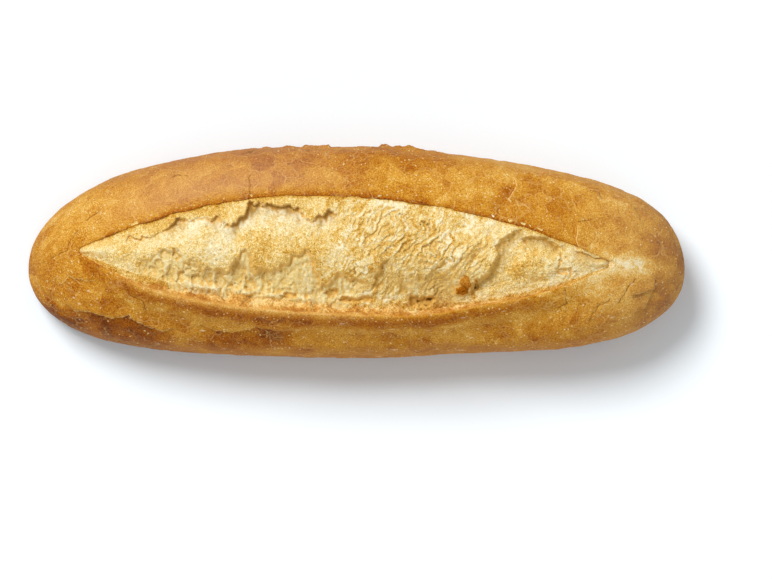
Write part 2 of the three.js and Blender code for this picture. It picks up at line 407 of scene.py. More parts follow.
crag_teeth = 1 + rough(X, ARC, CRAG_TEETH, 77, 2, 0.8)
for along, angle, breadth, height in CRAGS:
    away = np.hypot(X - along, ARC - angle * UNROLLED)
    crust = crust + height * smoothstep(1.4, 0.5, away / breadth) * crag_teeth
print(len(CRAGS), "crags")

# %% Flakes that lifted: edge, drop, and how much browner the crust is below it
FLAKE_EDGES = {
    "back right": ([(48.1, 22.5), (49, 20), (47.8, 17.8), (46, 15.8), (47.5, 14)], 1.3, 0.2),
    "shoulder right": ([(88, 6.5), (85.5, 11.3), (84.9, 13.7), (79.8, 15.2), (74.6, 15.5), (73, 18),
                        (62, 21.3), (56.3, 21.3), (54.8, 23.3), (41, 23.3)], 1.2, 0),
    "tip above slash": ([(67, 8.5), (66.8, 4.8), (67.4, 1.5), (68.8, -0.3)], 0.9, 0.1),
    "right end": ([(83.1, -13.7), (86.6, -12.5), (90.3, -11.4), (90.9, -7.5)], 1.2, 0.12),
    "right end low": ([(84, -19), (88, -17.4), (88.9, -14.9), (90.3, -12.2)], 0.8, 0.12),
    "front left": ([(-88.7, -15.2), (-84.9, -18.3), (-79, -18.8), (-74.6, -20.8), (-68.4, -19.9),
                    (-68.5, -21), (-64.2, -23.4), (-58.1, -24.9), (-53, -23.8)], 1.2, 0.24),
    "front left tip": ([(-93, -8.5), (-91, -8.2), (-90, -10.4), (-87.6, -7.4), (-82.6, -9),
                        (-78, -9.2)], 0.5, 0.2),
    "front mid": ([(-51, -24.4), (-47.2, -23.4), (-42, -25), (-37.4, -26), (-30, -23.6),
                   (-22.4, -24.6), (-16, -24.4)], 0.7, 0.3),
}
FLAKE_SWAY = (2.6, 0.7)
FLAKE_HEALS = 3.5
FLAKE_WALL = 0.25
FLAKE_ENDS = 0.12
BROWN_ENDS = 0.3
FAR_OFF = 9.0

flake_edge = np.full(ANGLE.shape, FAR_OFF)
flake_drop = np.zeros(ANGLE.shape)
flake_brown = np.zeros(ANGLE.shape)
flake_shows = np.zeros(ANGLE.shape)
upper = TOPWARD > 0
for n, (points, drop, browner) in enumerate(FLAKE_EDGES.values()):
    distance, run = beside(X, Y, points)
    distance = distance + rough(X, Y, FLAKE_SWAY, 120 + 9 * n, 4, 0.6)
    here = within(run, 0, 1, FLAKE_ENDS) * upper
    crust = crust + tear(distance, drop, FLAKE_HEALS, FLAKE_WALL) * here
    nearer = (here > 0.05) & (np.abs(distance) < np.abs(flake_edge))
    flake_edge = np.where(nearer, distance, flake_edge)
    flake_drop = np.where(nearer, drop * here, flake_drop)
    flake_brown = np.where(nearer, browner * drop * within(run, 0, 1, BROWN_ENDS), flake_brown)
    flake_shows = np.where(nearer, here * smoothstep(0.05, 0.25, TOPWARD), flake_shows)
print(len(FLAKE_EDGES), "lifted flakes")

# %% Cracks
CRACKS = {
    "left tip": [(-93, -2.4), (-90, -1), (-87.4, 0.2), (-87, 3), (-84.8, 6.6)],
    "left shoulder": [(-82.8, 9.2), (-81.4, 10.1), (-79.6, 10.4), (-78.2, 12)],
    "back": [(-32.3, 23), (-32.3, 20), (-31.8, 16.6)],
    "front left": [(-70.3, -8.2), (-69.4, -11), (-68.6, -13.5), (-65.4, -15.2), (-64.5, -16),
                   (-64.1, -20)],
    "left ridge": [(-79.8, -5.4), (-79.6, -8.6)],
    "front right": [(63.2, -10.6), (63.6, -14), (64.2, -16.4), (61.2, -18.3)],
    "right tip": [(84.5, -8.1), (82.8, -10.4), (81.3, -13.4), (79, -15.7)],
    "right low": [(77.3, -14.9), (73.7, -16.4), (72.6, -18.3), (70.3, -21.6)],
    "back right": [(67, 8.6), (69.5, 9.4), (72, 9.9)],
    "back rim left": [(-56, 22.4), (-54, 23.2), (-50.8, 22.8)],
    "back rim mid": [(-34.8, 29.6), (-31.4, 29.8), (-28.8, 31)],
}
CRACK_SWAY = (2.2, 0.8)
CRACK = (0.22, 0.35)
CRACK_RIM = (0.8, 0.5, 0.12)
RELIEF_FADES = (-0.55, 0.1)

crack = np.full(ANGLE.shape, FAR_OFF)
for n, points in enumerate(CRACKS.values()):
    distance, run = beside(X, Y, points)
    distance = distance + rough(X, Y, CRACK_SWAY, 220 + 9 * n, 3, 0.7)
    ended = (run <= 0) | (run >= 1) | ~upper
    distance = np.where(ended, FAR_OFF, distance)
    crack = np.where(np.abs(distance) < np.abs(crack), distance, crack)
crust = crust - CRACK[1] * bell(crack, CRACK[0])
crust = crust + CRACK_RIM[2] * bell(np.abs(crack) - CRACK_RIM[0], CRACK_RIM[1])
crust = crust * smoothstep(*RELIEF_FADES, TOPWARD)
print(len(CRACKS), "cracks, relief from", round(crust.min(), 1), "to", round(crust.max(), 1), "mm")

# %% [markdown]
# ## Lip, trench and ear
# Each stretch of columns has its own rule for its height over the closed loaf. Inside the slash
# the relief stands straight up, and on the crust it stands out from the loaf's spine. The ear's
# face is where the crust tore off, so grit and tongues of torn bread hang down it.

# %% The torn face of the ear
TRENCH = 6.5
TRENCH_OPENS = 0.06
EAR_LIFT = (1.6, 4)
EAR_FOOT = 5.4
FACE_GRIT = (1.2, 1)
FACE_TONGUES = [(6, 4.5), (2, 2.2)]

cut = smoothstep(0, TRENCH_OPENS, SLASH["open"])
bed = crust - TRENCH * cut
down_face = (Y - SLASH["crest"]) / (SLASH["front"] - SLASH["crest"])
face = crust + SLASH["open"] * EAR_LIFT[0] - cut * EAR_FOOT * down_face
face_rough = rough(X, Y, FACE_GRIT, 301, 3, 0.7)
tongues = 0
for n, (reach, height) in enumerate(FACE_TONGUES):
    tongues = tongues + height * ragged(X, Y / 4, reach, 304 + 9 * n, 4, 0.6)
face = face + SLASH["open"] * (face_rough + tongues * down_face) * smoothstep(0, 0.4, down_face)

# %% Height of every place on the crust
LIP_LIFT = (0.4, 7)
VALLEY = (1.5, 8.5, 4.5)
TIP_EASE = 6

forward = SLASH["crest"] - Y
behind = Y - SLASH["back"]
lip_rise = LIP_LIFT[0] * bell(behind, LIP_LIFT[1])
ear_rise = EAR_LIFT[0] * bell(forward, EAR_LIFT[1]) - VALLEY[0] * bell(forward - VALLEY[1], VALLEY[2])
heights = {
    "back": crust + SLASH["open"] * lip_rise,
    "lip": mix(crust + SLASH["open"] * LIP_LIFT[0], bed, SHARE),
    "trench": bed,
    "ear": np.maximum(face, bed),
    "front": crust + SLASH["open"] * ear_rise,
}
HEIGHT = crust.copy()
for stretch, height in heights.items():
    HEIGHT = np.where(STRETCH == stretch, height, HEIGHT)
HEIGHT = HEIGHT * smoothstep(0, TIP_EASE, SECTION["half"]) * (Z > 0)

# %% Places of the crust in space
DIRECTION_EASE = 8

beyond = np.maximum(np.maximum(behind, forward), 0)
upward = SLASH["open"] * (1 - smoothstep(0, DIRECTION_EASE, beyond)) * (Z > SECTION["waist"])
place = np.stack(np.broadcast_arrays(X, Y, Z), axis=-1)
spine = np.broadcast_arrays(np.clip(X, -SPINE, SPINE), SECTION["middle"], SECTION["waist"])
outward = place - np.stack(spine, axis=-1)
outward = outward / np.maximum(np.linalg.norm(outward, axis=-1, keepdims=True), TINY)
outward = mix(outward, np.array([0, 0, 1.0]), upward[..., None])
outward = outward / np.linalg.norm(outward, axis=-1, keepdims=True)
CRUST_PLACES = place + outward * HEIGHT[..., None]
CRUST_PLACES[..., 2] = np.maximum(CRUST_PLACES[..., 2], 0)
print("crust rises to", round(CRUST_PLACES[..., 2].max(), 1), "mm")

# %% [markdown]
# ## What the crust's finish needs to know
# The crust is browned more in some places than in others: along the back lip, low on the front
# and below most lifted flakes. Under the ear it is browner, partly by browning and partly as
# painted shade; the back rim is darkened as painted shade, and the ridge of the ear is lightened
# as a painted highlight. The base is browned by its height over the tray. The right end is pale
# and floury up to its browner tip, and the back has a smooth tan bloom with a painted sheen. Such
# amounts could be painted by hand. They are worked out beside the shape instead, and kept on the
# mesh as named attributes, so that the finish always follows the form.

# %% Where the crust differs
TIP_FADE = 8

from_tip = smoothstep(LENGTH / 2, LENGTH / 2 - TIP_FADE, np.abs(X))
high = smoothstep(-0.5, 0.02, TOPWARD)
on_back = STRETCH == "back"
on_ear = STRETCH == "ear"
on_front = STRETCH == "front"
front_low = smoothstep(0.2, -0.6, BACKWARD) * smoothstep(0.9, 0.1, TOPWARD) * mix(0.5, 1, from_tip)
wide_patches = ragged(X, ARC, 34, 91)
under_flake = smoothstep(0.1, -0.4, flake_edge) * smoothstep(-7, -2, flake_edge)
# painted highlight: the ridge along the crest of the ear
ridge = bell(forward + 0.3, 1.5) * within(X, -84, 20, 30)
# the smooth back: a tan bloom, partly a painted sheen
back_bloom_and_sheen = within(X, -88, 12, 40) * bell(BACKWARD - 0.55, 0.4) * high * smoothstep(0, 5, behind)
pale_streak = spot(X, Y, (83, -4.6), (6.76, 2.6)) * smoothstep(-0.9, 0.5, ragged(X, Y, 2.4, 95))
pale_end = spot(X, Y, (76, -6), (14, 8)) * (0.8 + 0.5 * ragged(X, Y, 6, 97))

# %% Browning and painted light: strength and place of each cause
BROWNING_AND_PAINTED_LIGHT = {
    "everywhere": (0.53, 1),
    "wide patches": (0.08, wide_patches),
    "plates": (0.05, 2 * plate - 1),
    # painted shade: the band under the ear is browned, and darkened further as painted shade
    "under the ear": (0.28, SLASH["open"] * bell(forward - 2.2, 1.7) * on_front * smoothstep(66, 36, X)),
    # painted highlight: lighter along the crest of the ear
    "ridge of the ear": (-0.19, SLASH["open"] * ridge * (on_front | on_ear)),
    "low front": (0.11, front_low),
    "low front left": (0.32, front_low * smoothstep(-30, -75, X)),
    "left end": (0.1, smoothstep(0.4, -0.2, BACKWARD) * smoothstep(-45, -80, X)),
    "back lip": (0.28, SLASH["open"] * bell(behind, 1.2) * on_back),
    # painted shade: darker along the back rim
    "back rim": (0.15, bell(BACKWARD - 0.97, 0.12) * within(X, -85, 40, 20) * high),
    "base": (0.3, smoothstep(0.65 * SECTION["waist"], 0 * X, Z)),
    "front left": (-0.05, on_front * smoothstep(0.2, -0.5, BACKWARD) * smoothstep(-20, -50, X)),
    "pale streak": (-0.65, pale_streak),
    "pale end": (-0.44, pale_end),
    "right tip": (0.19, smoothstep(82, 94, X)),
    "below flakes": (1, flake_brown * under_flake),
    "back": (0.09, back_bloom_and_sheen),
}
bake_and_painted_light = sum(strength * where for strength, where in BROWNING_AND_PAINTED_LIGHT.values())
print("browning from", round(bake_and_painted_light.min(), 2), "to", round(bake_and_painted_light.max(), 2))

# %% Other amounts on the crust
EDGE_SWAY = (8, 0.03)
FACE_SWAY = (2.2, 0.25)
LONGEST = 3

edge_on = np.abs(BACKWARD) + rough(X, ARC, EDGE_SWAY, 98)
front_left = smoothstep(0.2, -0.5, BACKWARD) * smoothstep(-20, -60, X)
mottling = 0.6 + 0.2 * smoothstep(-45, 15, X) + 0.3 * front_left
mottling = mottling - 0.3 * bell(forward - 1.5, 3) * on_front
# bloom and painted sheen on the back, and a painted highlight on the ridge of the ear
bloom_and_sheen = back_bloom_and_sheen + 0.4 * ridge * SLASH["open"]
blisters = 1 - 0.8 * smoothstep(0.1, 0.7, bloom_and_sheen)
blisters = blisters * (1 - 0.75 * bell(behind, 2) * on_back) * mix(0.6, 1, smoothstep(-0.2, 0.5, TOPWARD))
torn_face = on_ear * smoothstep(0, 0.9, down_face + rough(X, Y, FACE_SWAY, 311))
torn_face = torn_face * smoothstep(0.05, 0.3, SLASH["open"]) * mix(1, 0.6, smoothstep(-25, -50, X))
CRUST_AMOUNTS = {
    "bake_and_painted_light": bake_and_painted_light,
    "mottling": mottling,
    # tan sides, with a painted sheen where they turn away at the outline
    "side": smoothstep(0.9, 0.98, edge_on) * smoothstep(-0.9, -0.3, TOPWARD) * from_tip,
    "bloom_and_sheen": bloom_and_sheen,
    "flour": smoothstep(60, 92, X) + 0 * Y,
    "dashed": smoothstep(0, -0.5, BACKWARD) * smoothstep(0, 4, forward) * high,
    "blisters": blisters,
    "torn": torn_face,
    "crack": np.clip(crack, -LONGEST, LONGEST),
    "flake": np.clip(flake_edge / np.maximum(flake_drop, 0.1), -LONGEST, LONGEST),
    "flake_shows": flake_shows,
}

# %% [markdown]
# ## A finer net for the crumb
# The crumb has the smallest shapes of the loaf, so it gets a net of its own, with a vertex about
# every quarter of a millimetre. It is a closed lens: a fine top, a plain underside sunk into the
# trench, and edges tucked under the lips, so that no seam shows.

# %% Stations and columns of the crumb
CRUMB_STATIONS = 660
CRUMB_TOP = 136
CRUMB_UNDER = 10
TUCK = 1.3
CRUMB_END = 1

x = np.linspace(SLASH_LEFT[0] - CRUMB_END, SLASH_RIGHT[0] + CRUMB_END, CRUMB_STATIONS + 1)[:, None]
crumb_section = section_at(x)
slash = slash_at(x, crumb_section)
rear = slash["back"] + TUCK * slash["open"]
fore = slash["crest"] - SCAR_EAR * slash["open"]
y = mix(rear, fore, np.linspace(0, 1, CRUMB_TOP)[None, :])
z = loaf_point(crumb_section, angle_at(y, crumb_section))[1]
across = np.clip((slash["back"] - y) / (slash["back"] - slash["front"]), 0, 1)
print("crumb net of", CRUMB_STATIONS, "stations and", CRUMB_TOP, "columns on top")

# %% [markdown]
# ## The torn crumb
# From the back lip to the groove, the crumb of this loaf has four bands. A tan shelf of skin hangs
# on to the lip along the left half. Below its ragged edge the crumb is fresh and cream. Then comes
# the crown, with a thin golden skin. In front that skin has torn again, and open bubbles and
# fibres show down to the groove. On the right one long tear slants across all of it.

# %% Bulge and groove
LIP_STEP = (0.35, 0.1, 7)
LIP_HEALS = 3
BULGE = 1.5
BULGE_LEAN = 0.92
GROOVE = (2.3, 1.2)
GROOVE_LEFT = 0.55

dome = np.sin(math.pi * across**BULGE_LEAN) ** 2
lip_top = np.interp(x[:, 0], X[:, 0], HEIGHT[:, COLUMNS["back"] - 1])[:, None]
from_lip = np.maximum(slash["back"] - y, 0)
lip_step = mix(*LIP_STEP[:2], smoothstep(-35, 0, x)) * (1 + 0.8 * ragged(x, 0, LIP_STEP[2], 340))
groove = mix(*GROOVE, smoothstep(15, 45, x)) * within(x, -72, 62, 26)
groove = groove * mix(GROOVE_LEFT, 1, smoothstep(-62, -30, x))
crumb = lip_top * np.exp(-from_lip / LIP_HEALS) - lip_step + (BULGE + lip_step) * dome
crumb = crumb - groove * smoothstep(0.5, 0.97, across)

# %% [markdown]
# ## Long tears in the crumb
# Each tear has its line, its drop, how soon it heals and how steep its wall is. A fringe of
# fibres roughens the longest ones, and the shelf has deeper pockets where it hangs over. Four
# scores beside the slanting tear show where the crumb almost let go as well.

# %% Lines of the tears
TEARS = {
    "shelf": {
        "points": [(-71.2, 0.6), (-70.6, 2.6), (-68.5, 4.6), (-63, 4.3), (-59.1, 5.2), (-57.2, 7.3),
                   (-54.2, 9.7), (-52.4, 9.1), (-49, 9.7), (-41.7, 10.4), (-39.3, 7), (-36.5, 10),
                   (-33.8, 11.9), (-32, 14), (-29.5, 14), (-28, 12.8), (-25.9, 14), (-22.2, 13.4),
                   (-17, 13.7), (-15.5, 10.4), (-13.4, 9.4), (-11.3, 11.6), (-7.3, 12.2), (-3, 10.7)],
        "drop": 0.8, "heals": 3.4, "fade": 0.06, "wall": 0.25, "fringe": 0.8,
        "pockets": [(-66, 4, 1), (-54.4, 2.4, 3), (-43, 2, 1.8), (-35.6, 3.4, 2.6), (-31.2, 2.8, 3.2),
                    (-24.8, 2.6, 3.4), (-19.6, 2.8, 3.2), (-9.2, 3.2, 3)],
    },
    "skin": {
        "points": [(-66.1, -7.9), (-65.1, -4.3), (-63.3, -2.4), (-59.4, -0.6), (-53, 0.3), (-50.8, -3),
                   (-49, -2.4), (-46.3, -5.8), (-38.1, -6.1), (-37.1, -3), (-35, 0), (-33.2, 0.3),
                   (-31.4, -1.5), (-29.5, -6.1), (-27.7, -6.1), (-21, -2.4), (-19.5, -0.6), (-14, 0),
                   (-12.8, -3.3), (-11, -11), (-7.9, -9.4), (-5.5, -7.3), (0, -7), (4.6, -11.3)],
        "drop": 2, "heals": 5, "fade": 0.05, "wall": 0.5, "fringe": 1.1, "eases": (0.5, -55, -35),
    },
    "tongue": {
        "points": [(4.6, -11.6), (6.4, -6.9), (8.2, -3.2), (10.4, -1.6)],
        "drop": 2, "heals": 3.5, "fade": 0.2,
    },
    "small tear": {
        "points": [(2.3, -0.3), (2.6, 2.4), (3.3, 4.6), (5.4, 5.3)],
        "drop": 0.9, "heals": 2, "fade": 0.3,
    },
    "slanting tear": {
        "points": [(34.6, -13.5), (36.1, -9.3), (40.2, -5.9), (42.9, -0.9), (42, 1.2), (47.3, 6.2),
                   (51.5, 8.4)],
        "drop": 3, "heals": 4.5, "fade": 0.12, "wall": 0.9,
    },
    "score low": {
        "points": [(17, -9.4), (19, -7.4), (21.8, -7.2), (24.4, -4.2), (26.8, -2.8), (30, -2.4)],
        "drop": 1.4, "heals": 2.6, "fade": 0.2, "wall": 0.8,
    },
    "score mid": {
        "points": [(27.2, -5.8), (29.4, -4), (31.6, -1.8), (34.6, -0.8), (36.6, 1.6), (38, 4)],
        "drop": 1.6, "heals": 2.2, "fade": 0.2, "wall": 0.8,
    },
    "score near": {
        "points": [(32.6, -5.4), (34, -2.6), (35.6, 0), (38.6, 1.4), (40.6, 4.2)],
        "drop": 1.3, "heals": 1.8, "fade": 0.2, "wall": 0.7,
    },
    "score high": {
        "points": [(23.4, 2), (26.8, 5.4), (29.4, 7.4), (33.4, 9.4)],
        "drop": 1.2, "heals": 2.4, "fade": 0.2, "wall": 0.8,
    },
    "pocket": {
        "points": [(49.2, 2.6), (50.1, 3.8), (52.9, 4.7), (55.4, 4.5), (57.8, 3.9), (60.6, 2.6), (63, 0.6)],
        "drop": 3.2, "heals": 3.4, "fade": 0.12, "wall": 0.8,
    },
    "crease": {
        "points": [(60, -6.1), (61.5, -4.3), (61.5, -1.8), (60.6, 0.6)],
        "drop": 1, "heals": 2, "fade": 0.3,
    },
    "slit": {
        "points": [(65.5, 1.4), (67.6, 0.3), (71.2, -1.5), (77, -2.7), (79, -3.9)],
        "drop": 1.3, "heals": 2.5, "fade": 0.2,
    },
}

# %% Tear the crumb along them
TEAR_SWAY = (4, 0.6)
TEAR_TEETH = (1.5, 0.8)
FRINGE = (1.7, 6)
TEAR_WALL = 0.15

teeth = rough(x, y, TEAR_TEETH, 390, 3, 0.7)
fringe = noise(x / FRINGE[0], y / FRINGE[1], 395)
fringe = fringe + 0.5 * noise(2.1 * x / FRINGE[0], 2 * y / FRINGE[1], 396)
pocketed = np.zeros(x.shape)
beside_tear = {}
tear_here = {}
for n, (name, form) in enumerate(TEARS.items()):
    distance, run = beside(x, y, form["points"])
    distance = distance + rough(x, y, TEAR_SWAY, 400 + 9 * n)
    distance = distance + teeth + form.get("fringe", 0) * fringe
    here = within(run, 0, 1, form["fade"])
    drop = form["drop"]
    for at, spread, more in form.get("pockets", []):
        drop = drop + more * bell(x - at, spread)
        pocketed = np.maximum(pocketed, more * bell(x - at, spread))
    if "eases" in form:
        least, start, end = form["eases"]
        drop = drop * mix(least, 1, smoothstep(start, end, x))
    crumb = crumb + tear(distance, drop, form["heals"], form.get("wall", TEAR_WALL)) * here
    beside_tear[name] = distance
    tear_here[name] = here
print(len(TEARS), "long tears")

# %% Curtains of torn skin below the crown
CURTAINS = [(3.2, 0.7), (6.5, 0.7)]
CURTAIN_SWAY = (3.6, 3.2)
CURTAIN_WALL = 0.4
CURTAIN_HEALS = 2.4

on_skin = beside_tear["skin"]
below_skin = smoothstep(0.3, -0.3, on_skin) * tear_here["skin"]
for n, (fall, drop) in enumerate(CURTAINS):
    hem = on_skin + fall + teeth + fringe
    hem = hem + rough(x, y / 2, CURTAIN_SWAY, 500 + 9 * n)
    crumb = crumb + tear(hem, drop, CURTAIN_HEALS, CURTAIN_WALL) * below_skin

# %% [markdown]
# ## Ledges and scales
# Right of the middle the crumb was dragged as it tore. It lies in low ledges that slant like the
# long tear, with small scales between them. A saw of noise-bent distance gives the ledges, and
# tilted cells give the scales. Both fade in patches, because a regular pattern looks woven.

# %% Slanting ledges right of the middle
LEDGE = (2.8, 0.32)
LEDGE_EDGE = 0.74
LEDGE_SWAY = [(9, 4.5), (3, 1.6), (1.2, 0.9)]
SLANT = math.radians(52)

slant_over = x * math.sin(SLANT) - y * math.cos(SLANT) + teeth
for n, (reach, sway) in enumerate(LEDGE_SWAY):
    slant_over = slant_over + sway * ragged(x, y, reach, 520 + 4 * n)
step = slant_over / LEDGE[0] % 1
saw = np.minimum(step / LEDGE_EDGE, (1 - step) / (1 - LEDGE_EDGE))
scored = within(x, 0, 47, 9) * within(across, 0.04, 0.95, 0.15)
scored = scored * smoothstep(-0.4, 0.3, ragged(x, y, 7, 530))
scored = scored * smoothstep(-0.45, 0.35, ragged(x, y, 2.6, 533))
crumb = crumb + LEDGE[1] * (saw - 0.5) * scored

# %% [markdown]
# ## Bubbles and gaps
# Gas bubbles that the tear opened lie side by side at the lower left and share thin walls, so each
# place belongs to the nearest bubble, and the wall stands where two are equally near. By the ear
# the crumb has parted from the crust in small gaps, which the finish darkens with painted shade.

# %% Opened bubbles: centre, half width, half length and depth
BUBBLES = [
    (-54.5, -1.6, 1.1, 2, 1.6), (-57.6, -1.6, 1.8, 1.7, 1), (-49.6, -4, 1.3, 1.2, 0.9),
    (-59.6, -4, 1.4, 1.4, 1), (-53, -8, 1.3, 1.5, 1.4), (-64.2, -4.6, 1.7, 2, 0.9),
    (-61.6, -6.2, 1.2, 1.8, 0.9), (-48, -9, 1.7, 2.2, 1.6), (-44.4, -9, 1.5, 3.4, 1.5),
    (-41, -9.2, 1.7, 2.4, 1.7), (-35.6, -6.6, 2.1, 3.2, 2), (-31.8, -10, 1.3, 2.4, 1.4),
    (-56.4, -7, 1.6, 2.2, 0.8), (-38, -11.6, 1.4, 1.8, 1.2), (-50.4, -6.6, 1.2, 1.6, 0.8),
    (-27.4, -9, 1.4, 2.2, 1),
]
BUBBLE_SWAY = (1.6, 1.1)
BUBBLE_REACH = 1.15
BUBBLE_LEAN = 0.45
BUBBLE_DEPTH = 0.7
RIM = 0.15

sway_x = x + rough(x, y, BUBBLE_SWAY, 560, 2)
sway_y = y + rough(x, y, BUBBLE_SWAY, 565, 2)
nearest = np.full(y.shape, BUBBLE_REACH)
second = np.full(y.shape, BUBBLE_REACH)
pit = np.zeros(y.shape)
for bx, by, wide, long, depth in BUBBLES:
    reach = np.hypot((sway_x - bx) / wide, (sway_y - by) / long)
    leaning = depth * (1 + BUBBLE_LEAN * np.clip((sway_y - by) / long, -1, 1))
    pit = np.where(reach < nearest, leaning, pit)
    second = np.where(reach < nearest, nearest, np.minimum(second, reach))
    nearest = np.minimum(nearest, reach)
to_wall = nearest / second
rim = smoothstep(0.75, 0.95, to_wall) * (pit > 0)
crumb = crumb - BUBBLE_DEPTH * pit * np.sqrt(np.clip(1 - to_wall**4, 0, 1)) + RIM * rim
print(len(BUBBLES), "open bubbles")

# %% Gaps by the ear: centre, half length, half width and depth
GAPS = [
    (-3, -14.6, 1.6, 0.8, 1.4), (0, -14.9, 2.2, 0.7, 1.4), (3, -14.3, 1.3, 0.7, 1.2),
    (-7, -12.8, 1.8, 1, 1.4), (17.6, -15.2, 1.4, 1.7, 1.9), (20.4, -15.4, 2.6, 1.3, 1.9),
    (22.6, -14.4, 1.2, 0.8, 1.4), (36.6, -9.6, 0.8, 1.6, 1.6), (35.6, -12, 0.8, 2, 1.6),
    (63.4, -6.2, 2.6, 1.2, 0.9), (-34, -14.4, 1.6, 0.7, 1.6), (-20.6, -13.6, 2.4, 0.7, 1.2),
]
GAP_SWAY = (1.6, 1.1)
DEEPEST = -5.4

painted_gap_shade = np.zeros(y.shape)
for n, (gx, gy, long, wide, depth) in enumerate(GAPS):
    reach = np.hypot((x - gx) / long, (y - gy) / wide)
    reach = reach + rough(x, y, GAP_SWAY, 640 + 5 * n, 4, 0.7)
    crumb = crumb - depth * smoothstep(1.25, 0.6, reach)
    # painted shade: the gaps are darkened
    painted_gap_shade = painted_gap_shade + depth / 4 * smoothstep(1.1, 0.6, reach)
crumb = np.maximum(crumb, DEEPEST)
print(len(GAPS), "gaps")

# %% A dip behind the ear on the right, and a bank of crumb along the ear on the left
DIP = {"centre": (22, -10.5), "radii": (14, 5), "depth": 1.2}
BANK = (1.4, 1.1, 1.4)

# the dip is also darkened as painted shade: more toasting, hollow shade and painted shadow
dip = spot(x, y, DIP["centre"], DIP["radii"])
bank = bell(y - slash["front"] - BANK[0], BANK[1]) * within(x, -58, 8, 12)
bank = bank * smoothstep(-0.3, 0.4, ragged(x, y, 5, 585))
crumb = crumb - DIP["depth"] * dip + BANK[2] * bank

# %% Small scales between the ledges
SCALE = (1.2, 2, 0.36)
SCALY = (-20, 52, 24)
SCALE_SWAY = [(6, 3), (1.6, 0.9)]

along = x * math.cos(SLANT) + y * math.sin(SLANT)
over = x * math.sin(SLANT) - y * math.cos(SLANT)
for n, (reach, sway) in enumerate(SCALE_SWAY):
    along = along + sway * ragged(x, y, reach, 570 + 9 * n)
    over = over + sway * ragged(x, y, reach, 574 + 9 * n)
_, _, scale, tilt = cells(along / SCALE[1], over, SCALE[0], 578)
scaly = within(x, *SCALY) * within(across, 0.03, 0.97, 0.1)
scaly = scaly * smoothstep(-0.35, 0.3, ragged(x, y, 6, 577))
crumb = crumb + SCALE[2] * (2 * tilt / SCALE[0] + 0.6 * (scale - 0.5)) * scaly

# %% [markdown]
# ## Knobs, grain and pores
# Two low knobs swell by the right end, and a brown drop of crust the size of a pea stuck in the
# crumb near the slanting tear. Over everything lies the crumb's own grain, with fibres where it
# tore and pores as wide as a pinhead. Last, the crumb is kept just below the back lip.

# %% Low knobs, lumps and grain
KNOBS = [(54.5, -4.6, 7, 4.5, 0.9), (49, -5.8, 2.6, 2.6, 0.5)]
LUMP = (4.5, 0.45)
GRAIN = (1.0, 0.3)

for kx, ky, long, wide, height in KNOBS:
    crumb = crumb + height * smoothstep(1.1, 0.5, np.hypot((x - kx) / long, (y - ky) / wide))
crumb = crumb + rough(x, y, LUMP, 51) + rough(x, y, GRAIN, 55, 2, 0.8)

# %% The brown drop, in two lobes: centre, radius, squash and level
LOBES = [(32.8, -9.5, 2.1, 1, -0.4), (32.1, -12, 2.2, 0.75, -1)]
LOBE_SWAY = (1.5, 0.5)
LOBE_GRAIN = (1.3, 0.5)

knob = np.zeros(y.shape)
for kx, ky, radius, squash, level in LOBES:
    away = np.hypot(x - kx, (y - ky) / squash) / radius + rough(x, y, LOBE_SWAY, 52)
    lobe = level + radius * (np.sqrt(np.clip(1 - away**2, 0, 1)) - 0.5)
    lobe = lobe + rough(x, y, LOBE_GRAIN, 54, 3, 0.7)
    crumb = np.where(away < 1, np.maximum(crumb, lobe), crumb)
    knob = np.maximum(knob, smoothstep(0.98, 0.72, away))

# %% Fibres and pores
FIBRE = (0.8, 6, 0.22)
FIBRE_SWAY = (5, 0.5)
PORE = (2.4, 0.35, 0.55)
PORE_FROM = 0.6
LIP_CLEAR = (0.08, 0.6)

torn = np.clip(below_skin + 0.5 * scored + 0.5 * dip, 0, 1) * (1 - knob) * (1 - 0.7 * bank)
sway = x + rough(x, y, FIBRE_SWAY, 57)
fibre = noise(sway / FIBRE[0], y / FIBRE[1], 58)
crumb = crumb + FIBRE[2] * torn * fibre
from_pore, _, pore, _ = cells(x, y, PORE[0], 59)
crumb = crumb - PORE[2] * (pore > PORE_FROM) * smoothstep(PORE[1] * (0.5 + pore), 0, from_pore)
crumb = np.minimum(crumb, lip_top - LIP_CLEAR[0] + LIP_CLEAR[1] * from_lip)
print("crumb from", round(crumb.min(), 1), "to", round(crumb.max(), 1), "mm about the closed loaf")

# %% [markdown]
# ## Hollows, shelter and walls: painted shade
# Light that falls on crumb goes some way in, so a hollow isn't black but deep gold. A renderer
# could trace light through the crumb, but that is slow and noisy. So the shade is painted into the
# colour: gold in hollows, creases and on steep walls, an olive-brown painted shadow where an
# overhang shelters a place, and a dark painted shade in the gaps. The amounts are measured on the
# shape: how far a place lies below its surroundings, how near it is to an overhang, and how steep
# it is.


# %% How deep each place lies below its surroundings, for the painted shade in hollows
SURROUNDINGS = 60
HOLLOW_DEPTH = 1.2
TIP_PAINTED_SHADE = {"centre": (70, -2.4), "radii": (6, 2.4), "depth": 0.6}


def soften(values, times):
    for _ in range(times):
        values = (np.roll(values, 1, axis=0) + 2 * values + np.roll(values, -1, axis=0)) / 4
        ends = np.concatenate([values[:, :1], values, values[:, -1:]], axis=1)
        values = (ends[:, :-2] + 2 * values + ends[:, 2:]) / 4
    return values


# painted shade: deeper places, the dip, the tip of the slash and the gaps get more of it
painted_hollow_shade = np.clip((soften(crumb, SURROUNDINGS) - crumb) / HOLLOW_DEPTH + 0.3 * dip, -1, 1)
painted_hollow_shade = painted_hollow_shade * np.where(pit > 0, 0.1, 1) + painted_gap_shade
painted_hollow_shade = painted_hollow_shade + TIP_PAINTED_SHADE["depth"] * spot(x, y, TIP_PAINTED_SHADE["centre"], TIP_PAINTED_SHADE["radii"])
print("hollows on", round(100 * (painted_hollow_shade > 0.3).mean()), "% of the crumb")

